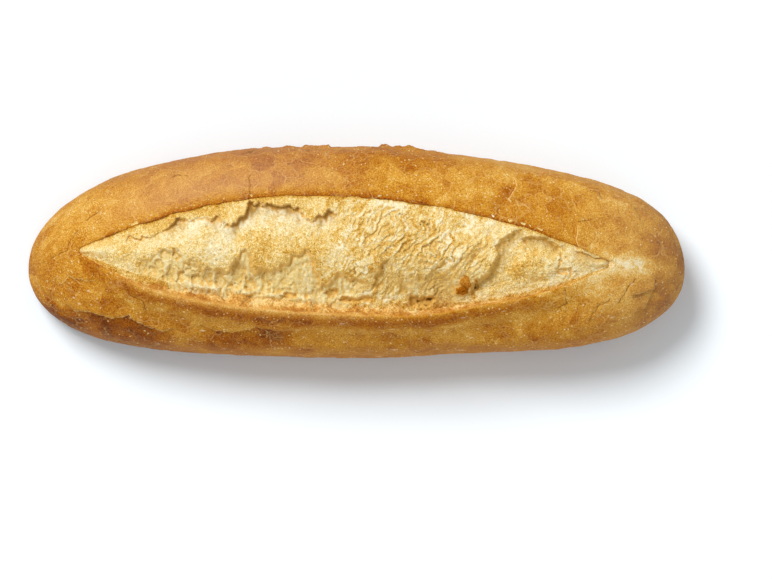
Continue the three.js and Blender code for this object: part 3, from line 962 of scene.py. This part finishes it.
# %% Painted shadow below an overhang: how far below its edge, spread and amount
PAINTED_SHADOWS = {
    "shelf": (1.9, 1.1, np.clip(pocketed / 3.6, 0, 0.85)),
    "slanting tear": (2.2, 1.5, 0.62),
    "pocket": (1.8, 1.2, 0.62),
    "skin": (2, 1.6, 0.16),
}
DIP_PAINTED_SHADOW = 0.3
TIP_POCKETS = [((70.5, -2.2), (6, 2.2)), ((58.5, 3.4), (4.5, 1.6))]
TIP_PAINTED_SHADOW = 0.54
PAINTED_SHADOW_FIBRE = (0.7, 4)

# painted shadow: olive brown below overhangs, in the dip and in two pockets near the right end
painted_shadow = DIP_PAINTED_SHADOW * dip
for name, (below, spread, amount) in PAINTED_SHADOWS.items():
    under_edge = bell(beside_tear[name] + below, spread) * (beside_tear[name] < 0)
    painted_shadow = np.maximum(painted_shadow, amount * under_edge * tear_here[name])
painted_shadow = painted_shadow * smoothstep(-75, -35, x)
for centre, radii in TIP_POCKETS:
    painted_shadow = np.maximum(painted_shadow, TIP_PAINTED_SHADOW * spot(x, y, centre, radii))
painted_shadow = painted_shadow * (0.85 + 0.5 * noise(x / PAINTED_SHADOW_FIBRE[0], y / PAINTED_SHADOW_FIBRE[1], 597))

# %% Steep walls and creases, which get painted shade
smooth = soften(crumb, 2)
slope_x = np.gradient(smooth, axis=0) / np.gradient(x, axis=0)
slope_y = np.gradient(smooth, axis=1) / np.gradient(y, axis=1)
steep = smoothstep(0.5, 1.5, np.hypot(slope_x, slope_y))
steep = steep * (1 - 0.8 * rim) * np.where(pit > 0, 0.4, 1)
crease = smoothstep(-0.02, 0.2, soften(crumb, 8) - crumb)

# %% [markdown]
# ## Toasting of the crumb
# The crumb that burst out first met the oven longest. Its crown, the shelf and every edge of torn
# skin are toasted gold, and what the tear opened late is cream. The dip behind the ear is darkened
# as painted shade. As on the crust, each cause has its strength and its place.

# %% Toasting and painted shade: strength and place of each cause
shelf = beside_tear["shelf"]
on_shelf = smoothstep(-0.2, 0.2, shelf) * tear_here["shelf"]
under_shelf = smoothstep(0.2, -0.2, shelf) * np.exp(np.minimum(shelf, 0) / 3) * tear_here["shelf"]
patches = ragged(x, y, 7, 83)
small_patches = ragged(x, y, 2, 86)
feathers = 0.3 * noise(along / 3.2, over / 0.9, 592) + 0.26 * noise(along / 1.4, over / 0.45, 593)
TOASTING_AND_PAINTED_SHADE = {
    "everywhere": (0.29, 1),
    "patches": (0.22, patches),
    "small patches": (0.18, small_patches),
    # painted shade: the dip is darkened
    "dip": (0.24, dip),
    "left": (0.01, smoothstep(-40, -60, x)),
    "right": (-0.07, smoothstep(46, 58, x)),
    "shelf": (0.12, on_shelf),
    "under the shelf": (-1, mix(0.12, 0.55, smoothstep(-60, -35, x)) * under_shelf),
    "below the skin": (-0.08, below_skin),
    "crown": (0.14, spot(x, y, (-27, 4), (14, 4))),
    "by the ear": (0.3, smoothstep(0.94, 1, across)),
    "bank": (-0.12, bank),
    "edge of the skin": (0.16, bell(on_skin - 0.5, 0.8) * tear_here["skin"]),
    "small knob": (0.22, spot(x, y, (49, -5.8), (2.4, 2.4))),
    "large knob": (0.1, spot(x, y, (54.5, -4.6), (5, 5))),
    "edges of ledges": (0.3, scored * within(step, 0.45, 0.95, 0.2)),
    "right half": (0.03, within(x, -20, 50, 15)),
    "feathers": (1, feathers * within(x, *SCALY)),
    "by the back lip": (0.3, bell(slash["back"] - y, 0.6)),
}
toast_and_painted_shade = sum(strength * where for strength, where in TOASTING_AND_PAINTED_SHADE.values())
print("toasting from", round(toast_and_painted_shade.min(), 2), "to", round(toast_and_painted_shade.max(), 2))

# %% Amounts on the crumb
# painted shade: inside a bubble the web is darker towards its middle; elsewhere it follows the fibres
web_and_pit_shade = np.where(pit > 0, smoothstep(0.6, 1, to_wall), 0.45 + 0.6 * fibre) + 0.3 * ragged(x, y, 3, 590)
CRUMB_AMOUNTS = {
    "toast_and_painted_shade": toast_and_painted_shade,
    "torn": torn,
    "web_and_pit_shade": web_and_pit_shade,
    "painted_hollow_shade": painted_hollow_shade,
    "painted_shadow": painted_shadow,
    "steep": steep,
    "crease": crease,
    "knob": knob * mix(1, 0.55, smoothstep(-12, -9.5, y)),
}

# %% [markdown]
# ## The crumb in space
# The top follows the heights above. Near the ends it sinks under the crust, so that it comes to a
# point between the lips. The underside lies a little below the bed of the trench.

# %% Places of the crumb in space
SINK = 1.6
UNDERSIDE = 8

risen = smoothstep(0, TRENCH_OPENS, slash["open"])
top = np.stack(np.broadcast_arrays(x, y, z + mix(-SINK, crumb, risen)), axis=-1)
back_share = np.arange(1, CRUMB_UNDER + 1)[None, :] / (CRUMB_UNDER + 1)
under_y = mix(fore, rear, back_share)
under_z = loaf_point(crumb_section, angle_at(under_y, crumb_section))[1]
sag = UNDERSIDE * risen * np.minimum(1, 6 * back_share * (1 - back_share)) + SINK
under = np.stack(np.broadcast_arrays(x, under_y, under_z - sag), axis=-1)
CRUMB_PLACES = np.concatenate([top, under], axis=1)
for pole in (0, -1):
    CRUMB_PLACES[pole] = CRUMB_PLACES[pole].mean(axis=0)


# %% [markdown]
# ## The meshes
# `bmesh.ops.create_uvsphere` makes each net: closed, all quads, with a fan of triangles at each
# pole. Every vertex then moves to the place worked out for its ring and its line, which are read
# back from where it stood on the sphere. Both pieces stand for the one solid of the frame.

# %% Shape a sphere into a piece of the roll
def shape_sphere(name, places, amounts):
    rings_in_all = places.shape[0] - 1
    around = places.shape[1]
    bm = bmesh.new()
    bmesh.ops.create_uvsphere(bm, u_segments=around, v_segments=rings_in_all, radius=1)
    sphere = np.array([vertex.co for vertex in bm.verts])
    rings = np.arccos(np.clip(sphere[:, 2], -1, 1)) / math.pi * rings_in_all
    rings = np.rint(rings).astype(int)
    lines = np.arctan2(sphere[:, 1], sphere[:, 0]) / (2 * math.pi) * around
    lines = np.rint(lines).astype(int) % around
    for vertex, co in zip(bm.verts, places[rings, lines] * MM):
        vertex.co = co
    bmesh.ops.recalc_face_normals(bm, faces=bm.faces)
    mesh = bpy.data.meshes.new(name)
    bm.to_mesh(mesh)
    bm.free()
    for amount, values in amounts.items():
        spread = np.zeros(places.shape[:2], dtype=np.float32)
        spread[:, :values.shape[1]] = values
        mesh.attributes.new(amount, "FLOAT", "POINT").data.foreach_set("value", spread[rings, lines])
    mesh.shade_smooth()
    piece = bpy.data.objects.new(name, mesh)
    bpy.context.scene.collection.objects.link(piece)
    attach(piece, "root")
    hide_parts("roll")
    print(name, "has", len(mesh.polygons), "faces")
    return piece


crust_piece = shape_sphere("baked_crust", CRUST_PLACES, CRUST_AMOUNTS)
crumb_piece = shape_sphere("torn_crumb", CRUMB_PLACES, CRUMB_AMOUNTS)

# %% [markdown]
# ## Finish
# Baked bread is browned starch and protein: golden where it is thin, red-brown where it is thick,
# and nearly white-yellow where the crumb never dried. Colours below are the sRGB values that the
# eye sees, turned to the linear values that the shader counts in. Each finish starts from one
# ramp of browning and then gets thin coats of other colours, one over another.


# %% Colours and texture scales
def linear(code):
    values = [int(code[k:k + 2], 16) / 255 for k in (1, 3, 5)]
    return [v / 12.92 if v <= 0.04045 else ((v + 0.055) / 1.055) ** 2.4 for v in values] + [1]


def size(millimetres):
    """Texture scale for a feature of that size, in metres of Object coordinates."""
    return 1 / (millimetres * MM)


# %% Nodes, ramps and coats of colour
def add(tree, kind, inputs=None, **settings):
    """A shader node with its settings. An input gets a value, a socket, or a node's first output."""
    node = tree.nodes.new("ShaderNode" + kind)
    for name, value in settings.items():
        setattr(node, name, value)
    for name, value in (inputs or {}).items():
        if isinstance(value, bpy.types.Node):
            value = next(output for output in value.outputs if output.enabled)
        if isinstance(value, bpy.types.NodeSocket):
            tree.links.new(value, node.inputs[name])
        else:
            node.inputs[name].default_value = value
    return node


def set_ramp(node, stops):
    elements = node.color_ramp.elements
    while len(elements) < len(stops):
        elements.new(1)
    for element, (position, code) in zip(elements, stops):
        element.position = position
        element.color = linear(code)
    return node


def lay_coats(tree, colour, coats):
    """Lay coats over a colour in turn. A coat's factors multiply to the share that it covers."""
    for (share, *factors), coat in coats:
        for factor in factors:
            share = add(tree, "Math", {0: share, 1: factor}, operation="MULTIPLY", use_clamp=True)
        paint = linear(coat) if isinstance(coat, str) else coat
        colour = add(tree, "Mix", {"Factor": share, "A": colour, "B": paint}, data_type="RGBA")
    return colour


def new_material(name, piece, amounts):
    """An empty material on a piece, with its Object coordinates and its amounts to read."""
    material = bpy.data.materials.new(name)
    material.use_nodes = True
    material.node_tree.nodes.clear()
    piece.data.materials.append(material)
    tree = material.node_tree
    place = add(tree, "TexCoord").outputs["Object"]
    read = {}
    for amount in amounts:
        read[amount] = add(tree, "Attribute", attribute_name=amount).outputs["Fac"]
    return tree, place, read


# %% [markdown]
# ## Baked crust
# The crust is a dry, slightly satin skin of browned starch. To the eye it is mottled at every
# size, from clouds of browning down to specks, and divided into plates that differ a little in
# tone. Noise of three sizes and cells for the plates are added to the browning on the mesh, which
# also holds some painted shade and a painted highlight.

# %% Baked crust: noise from clouds to specks
CLOUD = 6
CRUST_GRAIN = 0.6
SPECK = 0.33

tree, place, read = new_material("baked crust", crust_piece, CRUST_AMOUNTS)
clouds = add(tree, "TexNoise", {"Vector": place, "Scale": size(CLOUD), "Detail": 5, "Roughness": 0.6})
fine = add(tree, "TexNoise", {"Vector": place, "Scale": size(CRUST_GRAIN), "Detail": 3, "Roughness": 0.7})
specks = add(tree, "TexNoise", {"Vector": place, "Scale": size(SPECK), "Detail": 1})

# %% Baked crust: plates with bent edges
PLATES = [(6.5, 0.8), (3.2, 0.45)]
PLATE_BEND = (5, 0.005)

bend = add(tree, "TexNoise", {"Vector": place, "Scale": size(PLATE_BEND[0]), "Detail": 1})
bent = add(tree, "Mix", {"Factor": PLATE_BEND[1], "A": place, "B": bend.outputs["Color"]},
           data_type="RGBA", blend_type="ADD")
plates = add(tree, "TexVoronoi", {"Vector": bent, "Scale": size(PLATES[0][0])})
plate_tone = add(tree, "SeparateColor", {"Color": plates.outputs["Color"]})

# %% Baked crust: browning, with its painted shade and highlight
TONES = [(fine, 0.6), (specks, 0.85), (plate_tone, 0.16)]

mottled = add(tree, "Math", {0: clouds, 1: 0.5}, operation="SUBTRACT")
browning_and_painted_light = read["bake_and_painted_light"]
for tone, weight in [(mottled, read["mottling"])] + TONES:
    browning_and_painted_light = add(tree, "Math", {0: tone, 1: weight, 2: browning_and_painted_light}, operation="MULTIPLY_ADD")
middle = sum(weight for _, weight in TONES) / 2
browning_and_painted_light = add(tree, "Math", {0: browning_and_painted_light, 1: middle}, operation="SUBTRACT")
crust_colour = set_ramp(add(tree, "ValToRGB", {"Fac": browning_and_painted_light}), [
    (0.0, "#f2e4be"), (0.18, "#e6c67c"), (0.36, "#d9a240"), (0.5, "#c98a28"), (0.62, "#b6771a"),
    (0.74, "#ab6008"), (0.87, "#924a04"), (1.0, "#6e3402"),
])

# %% [markdown]
# ## Coats on the crust
# The steep sides saw less heat from above and are tan, and at the outline the same coat is a
# painted sheen. The smooth back has a pinkish bloom with a painted sheen, and a little flour is
# left on the right end. Pale blisters as small as a pinhead stand in clusters, thin pale seams
# part the plates, and short dashes along the front show where the skin stretched.
# Blisters and dashes are dots round the centres of Voronoi cells, and seams are their borders.

# %% Baked crust: tan sides and bloom, partly painted sheen, and flour
crust_coats = [
    # tan sides, partly a painted sheen
    ([read["side"], 0.4], "#b88044"),
    # bloom: pinkish, partly a painted sheen
    ([read["bloom_and_sheen"], 0.3], "#dcae86"),
    ([read["flour"], fine, 0.4], "#ccb07c"),
]

# %% Baked crust: blisters
BLISTER = 1.1
BLISTER_JITTER = 0.0008

jitter = add(tree, "Mix", {"Factor": BLISTER_JITTER, "A": place, "B": fine.outputs["Color"]},
             data_type="RGBA", blend_type="ADD")
blister = add(tree, "TexVoronoi", {"Vector": jitter, "Scale": size(BLISTER)})
blister_kind = add(tree, "SeparateColor", {"Color": blister.outputs["Color"]})
blister_reach = add(tree, "MapRange", {
    "Value": blister_kind, "From Min": 0.4, "From Max": 1, "To Min": 0.02, "To Max": 0.42,
})
blistered = add(tree, "MapRange", {
    "Value": blister, "From Min": blister_reach, "From Max": 0.0,
}, interpolation_type="SMOOTHSTEP")
clustered = add(tree, "MapRange", {
    "Value": clouds, "From Min": 0.65, "From Max": 0.4, "To Min": 0.7, "To Max": 2.4,
})
crust_coats.append(([blistered, read["blisters"], clustered], "#f0cf90"))

# %% Baked crust: seams between plates
SEAM = (0.2, 0.03)

for pitch, strength in PLATES:
    border = add(tree, "TexVoronoi", {"Vector": bent, "Scale": size(pitch)}, feature="DISTANCE_TO_EDGE")
    seam = add(tree, "MapRange", {"Value": border, "From Min": SEAM[0] / pitch, "From Max": SEAM[1] / pitch})
    shows = add(tree, "MapRange", {"Value": clouds, "From Min": 0.44, "From Max": 0.62, "To Max": strength})
    crust_coats.append(([seam, shows, specks], "#ecc074"))

# %% Baked crust: short pale dashes along the front
DASH = 2
DASH_SQUEEZE = 0.35

stretched = add(tree, "Mapping", {"Vector": place, "Scale": (DASH_SQUEEZE, 1, 1)})
dash = add(tree, "TexVoronoi", {"Vector": stretched, "Scale": size(DASH)})
dash_kind = add(tree, "SeparateColor", {"Color": dash.outputs["Color"]}).outputs["Green"]
dash_reach = add(tree, "MapRange", {
    "Value": dash_kind, "From Min": 0.55, "From Max": 1, "To Min": 0.005, "To Max": 0.26,
})
dashes = add(tree, "MapRange", {"Value": dash, "From Min": dash_reach, "From Max": 0.0})
crust_coats.append(([dashes, read["dashed"]], "#f2dcae"))

# %% [markdown]
# ## Flakes, cracks and the ear's face
# The broken edge of a lifted flake is pale and a crack is dark, so both are drawn by their
# distance on the mesh and broken up by grain. The ear's torn face has no crust at all: it is
# toasted crumb in clumps, from brown at the crest to pale gold at the foot.

# %% Baked crust: where the line of a flake or crack begins, is full, and how strong it is
LINES = {"flake": (0.16, 0.03, 1), "crack": (0.17, 0.03, 1.5)}

lines = {}
for amount, (begins, full, most) in LINES.items():
    away = add(tree, "Math", {0: read[amount]}, operation="ABSOLUTE")
    lines[amount] = add(tree, "MapRange", {
        "Value": away, "From Min": begins, "From Max": full, "To Max": most,
    })
crust_coats.append(([lines["flake"], fine, 1.6, read["flake_shows"]], "#eecd88"))
crust_coats.append(([lines["crack"], fine], "#7a4412"))

# %% Baked crust: the torn face of the ear
CLUMP = 4

clumps = add(tree, "TexNoise", {"Vector": place, "Scale": size(CLUMP), "Detail": 2, "Roughness": 0.5})
down = add(tree, "Math", {0: read["torn"], 1: 0.6}, operation="MULTIPLY")
for tone, weight in [(fine, 3.2), (clumps, 2.2)]:
    down = add(tree, "Math", {0: tone, 1: weight, 2: down}, operation="MULTIPLY_ADD")
down = add(tree, "Math", {0: down, 1: 2.5}, operation="SUBTRACT")
face_colour = set_ramp(add(tree, "ValToRGB", {"Fac": down}), [
    (0.0, "#b4742c"), (0.25, "#c98c40"), (0.5, "#d9a24c"), (0.75, "#e4b868"), (1.0, "#f0d494"),
])
on_face = add(tree, "MapRange", {"Value": read["torn"], "From Min": 0.02, "From Max": 0.2})
crust_coats.append(([on_face], face_colour))

# %% Baked crust: surface
crust_colour = lay_coats(tree, crust_colour, crust_coats)
grit = add(tree, "Math", {0: blistered, 1: 0.5, 2: fine}, operation="MULTIPLY_ADD")
bumps = add(tree, "Bump", {"Height": grit, "Strength": 0.8, "Distance": 0.5 * MM})
shader = add(tree, "BsdfPrincipled", {
    "Base Color": crust_colour, "Roughness": 0.65, "Specular IOR Level": 0.07, "Normal": bumps,
})
add(tree, "OutputMaterial", {"Surface": shader})
print("baked crust has", len(crust_coats), "coats")

# %% [markdown]
# ## Torn crumb
# The crumb is matt and nearly white-yellow. Where it met the oven's heat its skin has golden
# grains the size of coarse sand, and the contrast between them grows with the toasting. Where it
# tore late, pale walls and fibres make a web, which is painted darker inside the open bubbles as
# shade.

# %% Torn crumb: golden grains
CRUMB_GRAIN = 0.85

tree, place, read = new_material("torn crumb", crumb_piece, CRUMB_AMOUNTS)
grains = add(tree, "TexNoise", {"Vector": place, "Scale": size(CRUMB_GRAIN), "Detail": 4, "Roughness": 0.75})
specks = add(tree, "TexNoise", {"Vector": place, "Scale": size(SPECK), "Detail": 1})
grain = add(tree, "Math", {0: specks, 1: grains}, operation="ADD")
grain = add(tree, "Math", {0: grain, 1: 1.0}, operation="SUBTRACT")
contrast = add(tree, "Math", {0: read["toast_and_painted_shade"], 1: 1.5, 2: 0.5}, operation="MULTIPLY_ADD")
contrast = add(tree, "Math", {0: contrast, 1: 1.15}, operation="MINIMUM")
toasting_and_painted_shade = add(tree, "Math", {0: grain, 1: contrast, 2: read["toast_and_painted_shade"]}, operation="MULTIPLY_ADD")
crumb_colour = set_ramp(add(tree, "ValToRGB", {"Fac": toasting_and_painted_shade}), [
    (0.02, "#faeec8"), (0.28, "#f0d590"), (0.48, "#e4ba60"), (0.7, "#d09636"), (1.0, "#a86a1a"),
])

# %% Torn crumb: web of torn walls and fibres, with painted shade inside the bubbles
web_and_pit_shaded = add(tree, "Math", {0: grain, 1: 0.9, 2: read["web_and_pit_shade"]}, operation="MULTIPLY_ADD")
web_and_pit_shade_colour = set_ramp(add(tree, "ValToRGB", {"Fac": web_and_pit_shaded}), [
    (0.0, "#ecd188"), (0.5, "#f6e09e"), (1.0, "#fdeeba"),
])
crumb_coats = [([read["torn"], 0.75], web_and_pit_shade_colour)]

# %% [markdown]
# ## Painted shade on the crumb
# Creases, hollows and steep walls get a warmer gold as painted shade, places below an overhang
# an olive-brown painted shadow, and only the gaps by the ear a dark painted shade. Each shade
# begins at some amount, is full at another and covers at most a share. A last coat makes the
# brown drop.

# %% Torn crumb: where each painted shade begins, is full, how much it covers, and its colour
PAINTED_SHADES = {
    "painted shade in creases": ("crease", 0, 1, 0.8, "#e4b860"),
    "hollows": ("painted_hollow_shade", 0.15, 1, 0.7, "#dcac54"),
    "painted shade on walls": ("steep", 0, 1, 0.7, "#eabc66"),
    "painted shadow": ("painted_shadow", 0, 1 / 0.95, 1, "#ac8740"),
    "gaps": ("painted_hollow_shade", 1.15, 1.9, 1, "#94631f"),
}

painted_shade_shares = {}
for shade, (amount, begins, full, most, code) in PAINTED_SHADES.items():
    painted_shade_shares[shade] = add(tree, "MapRange", {
        "Value": read[amount], "From Min": begins, "From Max": full, "To Max": most,
    })
    crumb_coats.append(([painted_shade_shares[shade]], code))

# %% Torn crumb: the brown drop
browned = add(tree, "Math", {0: grain, 1: 1.6, 2: read["knob"]}, operation="MULTIPLY_ADD")
knob_colour = set_ramp(add(tree, "ValToRGB", {"Fac": browned}), [
    (0.3, "#d0923c"), (0.6, "#b87420"), (1.0, "#9c560a"),
])
on_knob = add(tree, "MapRange", {"Value": read["knob"], "From Min": 0.1, "From Max": 0.5})
crumb_coats.append(([on_knob], knob_colour))

# %% [markdown]
# ## Speckle and seeping light
# Every coat of the crumb is speckled by the same grain, so that walls and hollows are as rough as
# the crown. A faint golden glow in hollows and on walls is painted light that stands for the light
# that seeps through the crumb from the sunny side. It stops at the gaps, which keep their dark
# painted shade.

# %% Torn crumb: speckle, seeping light and surface
SPECKLE = -0.4
SEEPING = 0.22

crumb_colour = lay_coats(tree, crumb_colour, crumb_coats)
speckle = add(tree, "Math", {0: grain, 1: SPECKLE, 2: 1.0}, operation="MULTIPLY_ADD")
speckled = add(tree, "Mix", {"Factor": 1.0, "A": crumb_colour, "B": speckle},
               data_type="RGBA", blend_type="MULTIPLY")
seeping = add(tree, "Math", {0: painted_shade_shares["hollows"], 1: painted_shade_shares["painted shade on walls"]}, operation="MAXIMUM")
light_left = add(tree, "Math", {0: 1.0, 1: painted_shade_shares["gaps"]}, operation="SUBTRACT")
for factor in (SEEPING, light_left):
    seeping = add(tree, "Math", {0: seeping, 1: factor}, operation="MULTIPLY")
bumps = add(tree, "Bump", {"Height": grains, "Strength": 0.9, "Distance": 0.7 * MM})
shader = add(tree, "BsdfPrincipled", {
    "Base Color": speckled, "Roughness": 1, "Specular IOR Level": 0.0, "Normal": bumps,
    "Emission Color": linear("#a88034"), "Emission Strength": seeping,
})
add(tree, "OutputMaterial", {"Surface": shader})
print("torn crumb has", len(crumb_coats), "coats")

# %% [markdown]
# ## Floor, light and camera
# The roll lies on a white sweep under one large soft light from beyond its back edge, a little to
# the left, with bright surroundings and a weak fill from the front. The sweep is a faintly blue
# white, which the warm light that the loaf throws on it leaves neutral. The camera looks straight
# down through a long lens.

# %% Floor
FLOOR_SIZE = 6
PAPER_WHITE = (0.86, 0.92, 0.965, 1)

floor_mesh = bpy.data.meshes.new("floor")
bm = bmesh.new()
bmesh.ops.create_grid(bm, x_segments=1, y_segments=1, size=FLOOR_SIZE / 2)
bm.to_mesh(floor_mesh)
bm.free()
floor = bpy.data.objects.new("floor", floor_mesh)
bpy.context.scene.collection.objects.link(floor)
sweep = bpy.data.materials.new("white paper sweep")
sweep.use_nodes = True
paper = sweep.node_tree.nodes["Principled BSDF"]
paper.inputs["Base Color"].default_value = PAPER_WHITE
paper.inputs["Roughness"].default_value = 0.9
floor_mesh.materials.append(sweep)

# %% Light
LIGHTS = {
    "soft_light": {"comes_from": (-0.42, 0.6, 1), "power": 2.6, "spread": 25},
    "fill_light": {"comes_from": (0.15, -0.95, 0.35), "power": 0.5, "spread": 60},
}
SKY = (0.49, 0.49, 0.49, 1)

for name, light in LIGHTS.items():
    lamp = bpy.data.objects.new(name, bpy.data.lights.new(name, "SUN"))
    lamp.data.energy = light["power"]
    lamp.data.angle = math.radians(light["spread"])
    lamp.rotation_euler = Vector(light["comes_from"]).to_track_quat("Z", "Y").to_euler()
    bpy.context.scene.collection.objects.link(lamp)
studio = bpy.data.worlds.new("studio")
studio.use_nodes = True
studio.node_tree.nodes["Background"].inputs["Color"].default_value = SKY
bpy.context.scene.world = studio
bpy.context.scene.view_settings.view_transform = "Standard"

# %% Camera
PHOTO_WIDTH = 772
PIXELS_PER_MM = 3.285
VIEW_CENTRE = (9.1, -11.7)
CAMERA_DISTANCE = 4000
SENSOR = 36

camera = bpy.data.objects.new("camera", bpy.data.cameras.new("camera"))
camera.data.sensor_width = SENSOR
camera.data.lens = SENSOR * PIXELS_PER_MM * CAMERA_DISTANCE / PHOTO_WIDTH
camera.location = Vector((*VIEW_CENTRE, CAMERA_DISTANCE + WAIST[1])) * MM
bpy.context.scene.collection.objects.link(camera)
bpy.context.scene.camera = camera
print("lens", round(camera.data.lens), "mm")
